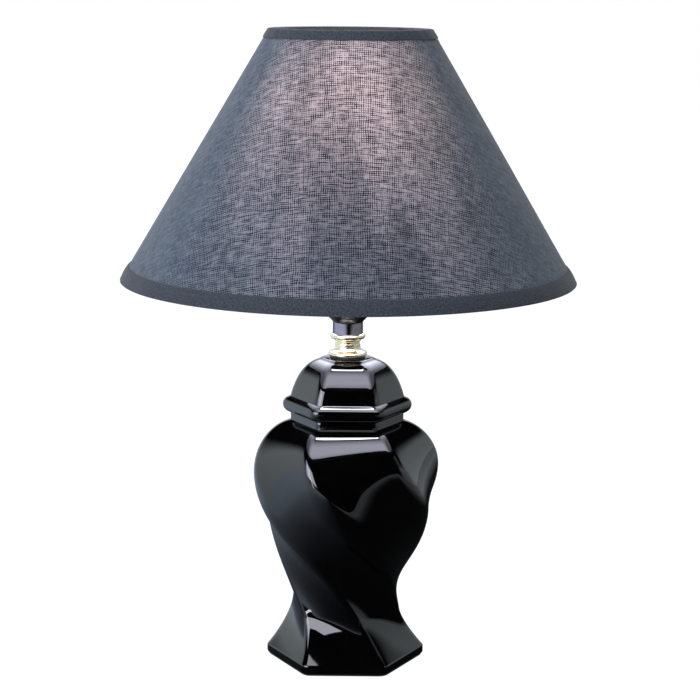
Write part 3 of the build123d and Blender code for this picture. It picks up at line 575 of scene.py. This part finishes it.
def urnSkin():
    # rounded hexagons by the three formulas above: up the foot, wall and collar, in at the mouth, down the
    # cavity's wall, through the rod's hole and out by the recess under the floor
    a, f = urn["arcPoints"], urn["flatPoints"]
    swing = np.radians(np.linspace(-90, 0, 5))
    rounding = urn["footRounding"]
    edgeHeights = footBottom + rounding * (1 + np.sin(swing))
    edgeRadii = urn["footRadius"] - rounding * (1 - np.cos(swing))
    upper = np.linspace(0, math.asin(urn["shoulderFullness"]), 40)[1:]
    wallHeights = np.concatenate([
        [footEdgeTop - 0.35, footEdgeTop],
        np.linspace(footEdgeTop, waistHeight, 34)[1:],
        np.linspace(waistHeight, bellyHeight, 60)[1:],
        bellyHeight + urn["shoulderRise"] * np.sin(upper) / urn["shoulderFullness"],
    ])
    foot = hexRings(edgeHeights, edgeRadii, urn["corner"], urn["turn"], a, f)
    fillet = urn["collarFillet"]
    wallHeights = wallHeights[(wallHeights < bellyHeight) | (urnRadius(wallHeights) > urn["collarRadius"] + fillet)]
    wall = hexRings(wallHeights, urnRadius(wallHeights), urnCorner(wallHeights), urnAngle(wallHeights), a, f)
    swing = np.radians(np.linspace(20, 90, 5))
    collarFoot = wallHeights[-1] + fillet * (1 - np.cos(swing)) + 0.1
    collarHeights = np.concatenate([collarFoot, [collarTop - 0.5, collarTop - 0.15, collarTop]])
    collarRadii = urn["collarRadius"] + np.concatenate([fillet * (1 - np.sin(swing)), [0, -0.15, -0.5]])
    collar = hexRings(collarHeights, collarRadii, urn["collarCorner"], 0, a, f)
    mouth = roundRings([collarTop, collarTop - 0.5, shoulderTop - urn["cavityCeiling"]],
                       [urn["mouthRadius"] + 0.5, urn["mouthRadius"], urn["mouthRadius"]], collar[-1])
    inner = np.linspace(shoulderTop - urn["cavityCeiling"], footBottom + urn["floorHeight"] + urn["floorThickness"], 30)
    cavity = hexRings(inner, urnRadius(inner) - inset(urn["wall"]), urnCorner(inner) - urn["wall"] / 2,
                      urnAngle(inner), a, f)
    hole = roundRings([inner[-1], inner[-1] - urn["floorThickness"]], [urn["rodHole"]] * 2, cavity[-1])
    under = np.linspace(footBottom + urn["floorHeight"], footBottom, 8)
    recess = hexRings(under, urnRadius(under) - inset(urn["footWall"]), urnCorner(under) - urn["wall"] / 2,
                      urnAngle(under), a, f)
    rings = np.concatenate([foot, wall, collar, mouth, cavity, hole, recess])
    piece = putGrid("urnGlazed", rings, "base", wrapRows=True, sharp=50)
    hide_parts("urn_body")
    return piece


# lid

lid = {
    "corner": 6.0, "rimRadius": 33.8, "coveRadius": 29.0, "rimHeight": 8.7, "coveShare": 0.35,
    "domeRadius": 30.0, "domeHeight": 21.9, "domePower": 1.2, "domeRoundness": 0.235, "seatRadius": 13.3,
    "spigotDepth": 3.5, "spigotRadius": 18.7, "cavityRadius": 16.0, "roof": 6.0,
}
rimMiddle = collarTop + lid["rimHeight"] / 2
domeBase = rimMiddle + lid["rimHeight"] * lid["coveShare"]
lidTop = domeBase + lid["domeHeight"]


def lidSkin():
    # a half-round rim by the sine of its angle, then a dome by a power of its rise, on rounded hexagons
    a, f = urn["arcPoints"], urn["flatPoints"]
    half = lid["rimHeight"] / 2
    swing = np.radians(np.linspace(-72, 46, 22))
    rimHeights = rimMiddle + half * np.sin(swing)
    rimRadii = lid["coveRadius"] + (lid["rimRadius"] - lid["coveRadius"]) * np.cos(swing)
    share = np.concatenate([np.linspace(0.055, 0.8, 30), [0.84, 0.88, 0.915, 0.945, 0.965]])
    domeHeights = domeBase + lid["domeHeight"] * share
    domeRadii = lid["domeRadius"] * (1 - share ** lid["domePower"]) ** lid["domeRoundness"]
    bottom = [collarTop + 0.02, collarTop + 0.1]
    bottomRadii = [rimRadii[0] - 1.1, rimRadii[0] - 0.7]
    seat = lid["seatRadius"]
    outer = hexRings(np.concatenate([bottom, rimHeights, domeHeights, [lidTop - 0.2, lidTop]]),
                     np.concatenate([bottomRadii, rimRadii, domeRadii, [seat + 0.5, seat]]), lid["corner"], 0, a, f)
    ceiling, spigotEnd = lidTop - lid["roof"], collarTop - lid["spigotDepth"]
    inside = roundRings([lidTop, ceiling, ceiling - 1.5, ceiling - 8, spigotEnd, spigotEnd, collarTop],
                        [urn["rodHole"], urn["rodHole"], 11.0, lid["cavityRadius"], lid["cavityRadius"],
                         lid["spigotRadius"], lid["spigotRadius"]], outer[-1])
    piece = putGrid("lidGlazed", np.concatenate([outer, inside]), "base", wrapRows=True, sharp=50)
    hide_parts("urn_lid")
    return piece


# felt


def feltPad():
    # a rounded hexagon with a soft edge that bulges by a quarter of its thickness
    a, f = 7, 8
    t = urn["feltThickness"]
    radius = urn["footRadius"] - urn["feltInset"]
    heights = np.array([0, 0, 0.02, 0.2, 0.5, 0.8, 0.98, 1, 1]) * t
    back = np.array([12, 1.2, 0.5, 0.08, 0, 0.08, 0.5, 1.2, 12])
    rings = hexRings(heights, radius - back, urn["corner"], urn["turn"], a, f)
    piece = putGrid("feltPad", rings, "base", caps=True)
    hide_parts("base_felt")
    return piece


# brass neck

neck = {
    "gasket": 0.8, "bore": 5.1, "torusRadius": 10.1, "torusHeight": 2.8, "coneRadius": 8.0, "coneRise": 2.3,
    "waistRadius": 6.55, "waistRise": 1.7, "grooveRadius": 6.15, "grooveRise": 1.1,
    "beadRadius": 6.8, "beadRise": 1.3,
    "flangeRadius": 9.1, "flangeHeight": 2.9,
}


def neckBrass():
    # a torus, a hollow cone, the waist, a groove, a bead and the flange, turned from one bar
    base = lidTop + neck["gasket"]
    torus = neck["torusHeight"] / 2
    coneBase = base + neck["torusHeight"]
    waistBase = coneBase + neck["coneRise"]
    grooveBase = waistBase + neck["waistRise"]
    beadBase = grooveBase + neck["grooveRise"]
    flangeBase = beadBase + neck["beadRise"]
    flange = neck["flangeHeight"] / 2
    top = flangeBase + neck["flangeHeight"]
    sweep = np.linspace(0, 1, 9)
    hollow = neck["coneRadius"] + (neck["waistRadius"] - neck["coneRadius"]) * np.sin(sweep * np.pi / 2) ** 0.8
    profile = [(neck["bore"], base)]
    profile += bow((neck["torusRadius"] - torus, base + torus), torus, -90, 90, 21)
    profile += [(neck["coneRadius"] + 0.12, coneBase)]
    profile += list(zip(hollow, coneBase + 0.05 + (neck["coneRise"] - 0.05) * sweep))
    profile += bow((neck["waistRadius"] - 0.15, grooveBase - 0.15), 0.15, 0, 90, 4)
    profile += [(neck["grooveRadius"], grooveBase + 0.02), (neck["grooveRadius"], beadBase - 0.02)]
    bead = neck["beadRise"] / 2
    profile += bow((neck["beadRadius"] - bead, beadBase + bead), bead, -90, 90, 11)
    profile += bow((neck["flangeRadius"] - flange, flangeBase + flange), flange, -90, 90, 21)
    profile += [(neck["bore"], top)]
    piece = putGrid("neckBrass", turned(profile, 128), "base", wrapRows=True, sharp=40)
    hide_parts("brass_neck")
    return piece


# bulb

bulb = {"capRadius": 13.1, "capWall": 0.3, "threadPitch": 3.53, "threadDepth": 0.55}


def bulbThread():
    # a rolled Edison thread: the radius is a sine of height less turn, fading at both ends
    low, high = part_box("bulb_cap")
    bottom, top = low.z / mm, high.z / mm
    angle = np.linspace(0, 2 * np.pi, 72, endpoint=False)
    height = np.linspace(bottom, top, 110)[:, None]
    fade = np.clip((height - bottom) / 1.5, 0, 1) * np.clip((top - 1.4 - height) / 1.2, 0, 1)
    wave = (1 + np.sin(2 * np.pi * height / bulb["threadPitch"] - angle)) / 2
    radius = bulb["capRadius"] - bulb["threadDepth"] * fade * wave
    outer = np.stack([radius * np.cos(angle), radius * np.sin(angle), np.broadcast_to(height, radius.shape)], -1)
    wall = (radius - bulb["capWall"])[::-1]
    inner = np.stack([wall * np.cos(angle), wall * np.sin(angle), np.broadcast_to(height[::-1], wall.shape)], -1)
    piece = putGrid("bulbThread", np.concatenate([outer, inner]), "bulb", wrapRows=True, sharp=60)
    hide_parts("bulb_cap")
    return piece


# shade

shade = {
    "topRadius": 41.4, "bottomRadius": 116.4, "slant": 147.0, "cloth": 0.42, "fit": 0.06,
    "trim": 0.8, "trimTop": 4.5, "trimBottom": 7.8, "trimInner": 5.5, "trimInside": -3.72, "proud": 0.5,
    "seamWidthDeg": 5.0, "seamStep": 0.35, "ripple": 0.16, "puff": 0.3, "columns": 420,
}
slope = math.asin((shade["bottomRadius"] - shade["topRadius"]) / shade["slant"])
coverBottom, coverTop = (corner.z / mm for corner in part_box("shade_cover"))


def roundShade():
    # angles from the front, with close columns at the overlap of the seam at the back
    lap = math.radians(shade["seamWidthDeg"])
    body = np.linspace(-math.pi + 0.0006, math.pi - lap - 0.004, shade["columns"])
    return np.concatenate([body, np.linspace(math.pi - lap, math.pi - 0.0006, 10)])


def onCone(height, out, angle):
    # the cone's radius at a height, moved square to its face, swung from the front
    radius = shade["topRadius"] + (coverTop - height) * math.tan(slope) + out / math.cos(slope)
    return np.stack(np.broadcast_arrays(radius * np.sin(angle), -radius * np.cos(angle), height), -1)


def cutOut(height, angle):
    # where that point lies on the flat cloth, in millimetres, with the weft level at the front
    reach = (shade["topRadius"] + (coverTop - height) * math.tan(slope)) / math.sin(slope)
    swing = angle * math.sin(slope)
    return np.stack(np.broadcast_arrays(reach * np.sin(swing), -reach * np.cos(swing)), -1)


def pulled(height, angle):
    # slight unevenness of cloth glued on a sheet: long low waves round the cone
    return shade["ripple"] * (np.sin(7 * angle + height / 31) + 0.6 * np.sin(17 * angle + 1.3 - height / 47)
                              + 0.4 * np.sin(29 * angle + height / 19)) / 2


def shadeCloth():
    # a thin cone: its outer face waves a little and steps up at the seam, its inner face lies on the liner
    angle = roundShade()[None, :]
    lap = np.clip((angle - (math.pi - math.radians(shade["seamWidthDeg"])) + 0.004) / 0.004, 0, 1)
    down = np.linspace(0, 1, 90)[:, None]
    height = coverBottom + (coverTop - coverBottom) * down
    out = pulled(height, angle) * np.sin(np.pi * down) - shade["ripple"] + shade["seamStep"] * lap + shade["proud"]
    outer = onCone(height, out, angle)
    inner = onCone(height, out - shade["cloth"] - shade["proud"], angle)[::-1]
    closed = np.concatenate([angle[0], [math.pi + 0.0006]])[None, :]
    flat = cutOut(height, closed)
    piece = putGrid("shadeCloth", np.concatenate([outer, inner]), "shade", wrapRows=True,
                    flatMap=np.concatenate([flat, flat[::-1], flat[:1]]), sharp=60)
    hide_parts("shade_cover")
    return piece


def foldedHem(name, edge, side, width, node):
    # a doubled strip folded over a rim: its outer face swells a little and its edges are soft
    angle = roundShade()[None, :]
    c = math.cos(slope)
    hem, innerHem = edge - side * width * c, edge - side * shade["trimInner"] * c
    rim = edge + side * shade["trim"]
    face = shade["fit"] + shade["trim"]
    inside = shade["trimInside"]
    rise = np.linspace(0, 1, 12)
    section = [(hem + side * 0.05, shade["fit"] + 0.1)]
    section += [(hem + side * (0.02 + 0.3 * t), face - 0.45 * (1 - t) ** 2) for t in (0.0, 0.5)]
    swollen = shade["puff"] * (1.0 if side < 0 else 0.25)
    section += [(hem + side * (0.35 + (width * c - 0.9) * t), face + swollen * math.sin(math.pi * t) ** 0.7)
                for t in rise]
    section += [(rim - side * 0.3, face), (rim - side * 0.07, face - 0.15), (rim, face - 0.4)]
    section += [(rim, inside - shade["trim"] + 0.6), (rim - side * 0.1, inside - shade["trim"] + 0.25)]
    section += [(rim - side * 0.5, inside - shade["trim"]), (innerHem + side * 0.3, inside - shade["trim"]),
                (innerHem, inside - shade["trim"] + 0.3), (innerHem, inside - 0.1), (innerHem + side * 0.1, inside),
                (edge + side * shade["fit"], inside), (edge + side * shade["fit"], shade["fit"])]
    heights, outs = np.array(section).T
    if side < 0:
        heights, outs = heights[::-1], outs[::-1]
    swell = 0.12 * np.sin(11 * angle + 2 * side) + 0.08 * np.sin(23 * angle) + 0.05 * np.sin(41 * angle + 1)
    outerSide = np.clip((outs - face + 0.2) / 0.2, 0, 1)[:, None]
    lap = np.clip((angle - (math.pi - math.radians(shade["seamWidthDeg"])) + 0.004) / 0.004, 0, 1)
    points = onCone(heights[:, None], outs[:, None] + outerSide * (swell * 0.8 + 0.3 * lap), angle)
    run = np.concatenate([[0], np.cumsum(np.hypot(np.diff(heights), np.diff(outs)))])
    closed = np.concatenate([angle[0], [math.pi + 0.0006]])
    radius = shade["topRadius"] + (coverTop - edge) * math.tan(slope)
    around, across = np.meshgrid(closed * radius, np.concatenate([run, [run[-1] + 1]]))
    piece = putGrid(name, points, "shade", wrapRows=True, flatMap=np.stack([around, across], -1), sharp=60)
    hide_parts(node)
    return piece


print("shapes")
urnPiece = urnSkin()
lidPiece = lidSkin()
felt = feltPad()
brass = neckBrass()
thread = bulbThread()
cloth = shadeCloth()
hemTop = foldedHem("hemTop", coverTop, 1, shade["trimTop"], "shade_trim_top")
hemBottom = foldedHem("hemBottom", coverBottom, -1, shade["trimBottom"], "shade_trim_bottom")

print("finishes")
glaze, enamel, brassWire, moulded = blackGlaze(), bakedEnamel(), platedWire(), mouldedBlack()
zinc, sheetBrass, bindingFinish = zincSteel(), rolledBrass(), bindingCloth()
wear(glaze, urnPiece, lidPiece)
wear(pressedFelt(), felt)
wear(turnedBrass(), brass)
wear(rolledAluminium(), thread)
wear(wovenCloth(), cloth)
wear(bindingFinish, hemTop, hemBottom)
wear(gasketRubber(), "neck_gasket")
wear(zinc, "lamp_rod", "base_washer", "lock_washer", "base_nut", "cap_set_screw")
wear(enamel, "socket_shell")
wear(platedHubEnamel(), "socket_cap")
wear(fibreCard(), "socket_liner")
wear(phenolicCore(), "socket_core")
wear(sheetBrass, "screw_shell", "centre_contact", "terminal_screws", "switch_stem")
wear(moulded, "cord_bushing", "switch_knob")
wear(solderPip(), "bulb_contact")
wear(blackVitrite(), "bulb_insulator")
wear(frostedBulb(), "bulb_glass")
wear(clearGlass(), "bulb_mount")
wear(tungstenWire(), "bulb_filament")
wear(brassWire, "bulb_clip", "clip_rivet", "shade_arms", "ring_top", "ring_bottom")
wear(whiteStyrene(), "shade_liner")
hidden = {"urn_body", "urn_lid", "base_felt", "brass_neck", "bulb_cap", "shade_cover", "shade_trim_top",
          "shade_trim_bottom"}
smoothCarried(*[name for name in nodes if name not in hidden])


# studio

studio = {
    "camera": (0.0012, -1.008, 0.3581), "pitchDown": 10.79, "rollDeg": 0.52, "focalPixels": 1965, "sensor": 36.0,
    "sky": 0.6, "windowSide": (0.9, 0.95, 1, 1), "darkSide": (0.13, 0.15, 0.17, 1),
    "wallGlow": 1.1, "wallColour": (0.82, 0.92, 0.95, 1), "roomDark": (0.003, 0.003, 0.003, 1),
    "floor": "#d9d9da", "floorGlow": 1.27, "floorSide": 12.0, "floorDrop": 0.0002,
}
# place, aim, width and height, all in metres, radiance, colour
softboxes = {
    "overhead": ((-0.12, -0.5, 1.25), (0, 0, 0.22), (1.1, 0.6), 4.4, "#f8f9ff"),
    "leftWindow": ((-0.95, -0.55, 0.5), (0, 0, 0.12), (0.36, 0.6), 6.0, "#d4d8f2"),
    "leftStrip": ((-0.72, -0.78, 0.3), (0, 0, 0.12), (0.05, 0.7), 12.0, "#f4f4ff"),
    "leftSheen": ((-0.68, -0.87, 0.5), (0, 0, 0.2), (0.7, 0.55), 6.5, "#f0f0ff"),
    "rightFill": ((1.1, -0.35, 0.7), (0, 0, 0.2), (0.6, 0.6), 0.35, "#eef2f0"),
}
onlyMirrored = {"leftSheen"}  # seen in gloss, it doesn't light the cloth


def softbox(name, place, aim, size, radiance, colour):
    # an area lamp: its power is pi times its area times the radiance wanted from it
    data = bpy.data.lights.new(name, "AREA")
    data.shape = "RECTANGLE"
    data.size, data.size_y = size
    data.energy = math.pi * size[0] * size[1] * radiance
    data.color = ink(colour)[:3]
    lamp = bpy.data.objects.new(name, data)
    bpy.context.scene.collection.objects.link(lamp)
    lamp.location = place
    lamp.rotation_euler = (Vector(aim) - Vector(place)).to_track_quat("-Z", "Y").to_euler()
    lamp.visible_camera = False
    lamp.visible_diffuse = name not in onlyMirrored


def bulbLamp():
    # a globe of light just round the bulb, moving with it; without multiple importance sampling the share
    # of its light that shadow rays bring through the thin sheets is counted whole
    radius = (bulbLight["globeRadius"] + 0.5) * mm
    data = bpy.data.lights.new("bulbLamp", "POINT")
    data.shadow_soft_size = radius
    data.energy = 4 * math.pi**2 * radius**2 * bulbLight["lampRadiance"]
    data.color = ink(bulbLight["lampColour"])[:3]
    data.cycles.use_multiple_importance_sampling = False
    # the socket end and the very top of a bulb give less light: stops by the upward part of the globe's normal
    data.use_nodes = True
    tree = data.node_tree
    tree.nodes.clear()
    normal = addNode(tree, "ShaderNodeNewGeometry").outputs["Normal"]
    upward = addNode(tree, "ShaderNodeSeparateXYZ", links={"Vector": normal}).outputs["Z"]
    rise = addNode(tree, "ShaderNodeMapRange", {"From Min": -1.0, "From Max": 1.0}, {"Value": upward})
    full = (1, 1, 1, 1)
    neckGrey, topGrey = ((bulbLight[key],) * 3 + (1,) for key in ("neckShare", "topShare"))
    share = addNode(tree, "ShaderNodeValToRGB", {
        "stops": [(0.19, neckGrey), (0.42, full), (0.83, full), (0.88, topGrey)]}, {"Fac": rise})
    glow = addNode(tree, "ShaderNodeEmission", {"Strength": 1.0}, {"Color": share})
    addNode(tree, "ShaderNodeOutputLight", links={"Surface": glow})
    lamp = bpy.data.objects.new("bulbLamp", data)
    bpy.context.scene.collection.objects.link(lamp)
    lamp.parent = nodes["bulb_glass"]
    lamp.location = (0, 0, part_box("bulb_glass")[1].z - (bulbLight["globeRadius"] + bulbLight["lampDrop"]) * mm)
    lamp.visible_camera = lamp.visible_glossy = False


def world():
    # the camera sees white; polished pieces see pale walls at the sides and behind, a dark room in front
    scene = bpy.context.scene
    scene.world = bpy.data.worlds.new("studio")
    scene.world.use_nodes = True
    tree = scene.world.node_tree
    tree.nodes.clear()
    way = axes(tree, "Generated")
    soft = {"interpolation_type": "SMOOTHSTEP"}
    front = addNode(tree, "ShaderNodeMapRange", {"From Min": -0.75, "From Max": -0.35, **soft}, {"Value": way["Y"]})
    low = addNode(tree, "ShaderNodeMapRange", {"From Min": 0.42, "From Max": 0.26, **soft}, {"Value": way["Z"]})
    lit = addNode(tree, "ShaderNodeMath", {"operation": "MULTIPLY"}, {0: front, 1: low})
    wallSide = addNode(tree, "ShaderNodeMapRange", {"From Min": -0.5, "From Max": 0.5, "To Min": 1.0, "To Max": 0.62},
                       {"Value": way["X"]})
    level = addNode(tree, "ShaderNodeMath", {"operation": "MULTIPLY"}, {0: lit, 1: wallSide})
    walls = addNode(tree, "ShaderNodeValToRGB", {
        "stops": [(0.0, studio["roomDark"]), (1.0, studio["wallColour"])]}, {"Fac": level})
    polish = addNode(tree, "ShaderNodeBackground", {"Strength": studio["wallGlow"]}, {"Color": walls})
    # soft light from the room: more from the window side
    side = addNode(tree, "ShaderNodeMapRange", {"From Min": -1.0, "From Max": 1.0}, {"Value": way["X"]})
    room = addNode(tree, "ShaderNodeValToRGB", {
        "stops": [(0.0, studio["windowSide"]), (1.0, studio["darkSide"])]}, {"Fac": side})
    dim = addNode(tree, "ShaderNodeBackground", {"Strength": studio["sky"]}, {"Color": room})
    white = addNode(tree, "ShaderNodeBackground", {"Color": (1, 1, 1, 1), "Strength": 1.0})
    polished = forRays(tree, "Glossy", dim, polish)
    through = forRays(tree, "Transmission", polished, white)
    addNode(tree, "ShaderNodeOutputWorld", links={"Surface": forRays(tree, "Camera", through, white)})


def floorSheet():
    # a pale flat floor: white to the camera apart from the lamp's soft shadow
    half, down = studio["floorSide"] / 2, -studio["floorDrop"]
    mesh = bpy.data.meshes.new("floorSheet")
    mesh.from_pydata([(-half, -half, down), (half, -half, down), (-half, half, down), (half, half, down)], [],
                     [(0, 1, 3, 2)])
    piece = bpy.data.objects.new("floorSheet", mesh)
    bpy.context.scene.collection.objects.link(piece)
    material = newFinish("paleFloor", {"Base Color": ink(studio["floor"]), "Roughness": 0.8})
    tree = material.node_tree
    plain = tree.nodes["Principled BSDF"]
    white = addNode(tree, "ShaderNodeEmission", {"Color": (1, 1, 1, 1), "Strength": studio["floorGlow"]})
    shadowed = addNode(tree, "ShaderNodeMixShader", {0: 0.75}, {1: plain, 2: white})
    # polished pieces see a dark table there, pale away to the left and less so to the right, as in the photograph
    across = addNode(tree, "ShaderNodeMapRange", {"From Min": -0.6, "From Max": 0.6}, {"Value": axes(tree)["X"]})
    shades = addNode(tree, "ShaderNodeValToRGB", {"stops": [
        (0.0, (0.8, 0.95, 1.15, 1)), (0.25, (0.68, 0.8, 0.97, 1)), (0.387, (0.24, 0.28, 0.34, 1)),
        (0.45, (0.06, 0.07, 0.08, 1)), (0.49, (0.012, 0.013, 0.014, 1)), (0.68, (0.012, 0.013, 0.014, 1)),
        (0.92, (0.35, 0.38, 0.4, 1))]}, {"Fac": across})
    table = addNode(tree, "ShaderNodeEmission", {"Strength": 1.0}, {"Color": shades})
    seen = forRays(tree, "Camera", forRays(tree, "Glossy", plain, table), shadowed)
    # a camera below the floor sees the lamp through it
    clear = addNode(tree, "ShaderNodeBsdfTransparent")
    below = addNode(tree, "ShaderNodeNewGeometry").outputs["Backfacing"]
    show(tree, addNode(tree, "ShaderNodeMixShader", links={0: below, 1: seen, 2: clear}))
    mesh.materials.append(material)


def camera():
    # the fitted camera: its lens is the focal length in pixels over the photograph's 700, times the sensor
    data = bpy.data.cameras.new("camera")
    data.sensor_width = studio["sensor"]
    data.lens = studio["focalPixels"] * studio["sensor"] / 700
    data.clip_start, data.clip_end = 0.05, 50
    seer = bpy.data.objects.new("camera", data)
    bpy.context.scene.collection.objects.link(seer)
    tip = Matrix.Rotation(math.radians(90 - studio["pitchDown"]), 4, "X")
    roll = Matrix.Rotation(math.radians(studio["rollDeg"]), 4, "Z")
    seer.matrix_world = Matrix.Translation(studio["camera"]) @ tip @ roll
    bpy.context.scene.camera = seer


print("studio")
bpy.context.scene.view_settings.view_transform = "Standard"
world()
floorSheet()
camera()
bulbLamp()
for name, values in softboxes.items():
    softbox(name, *values)
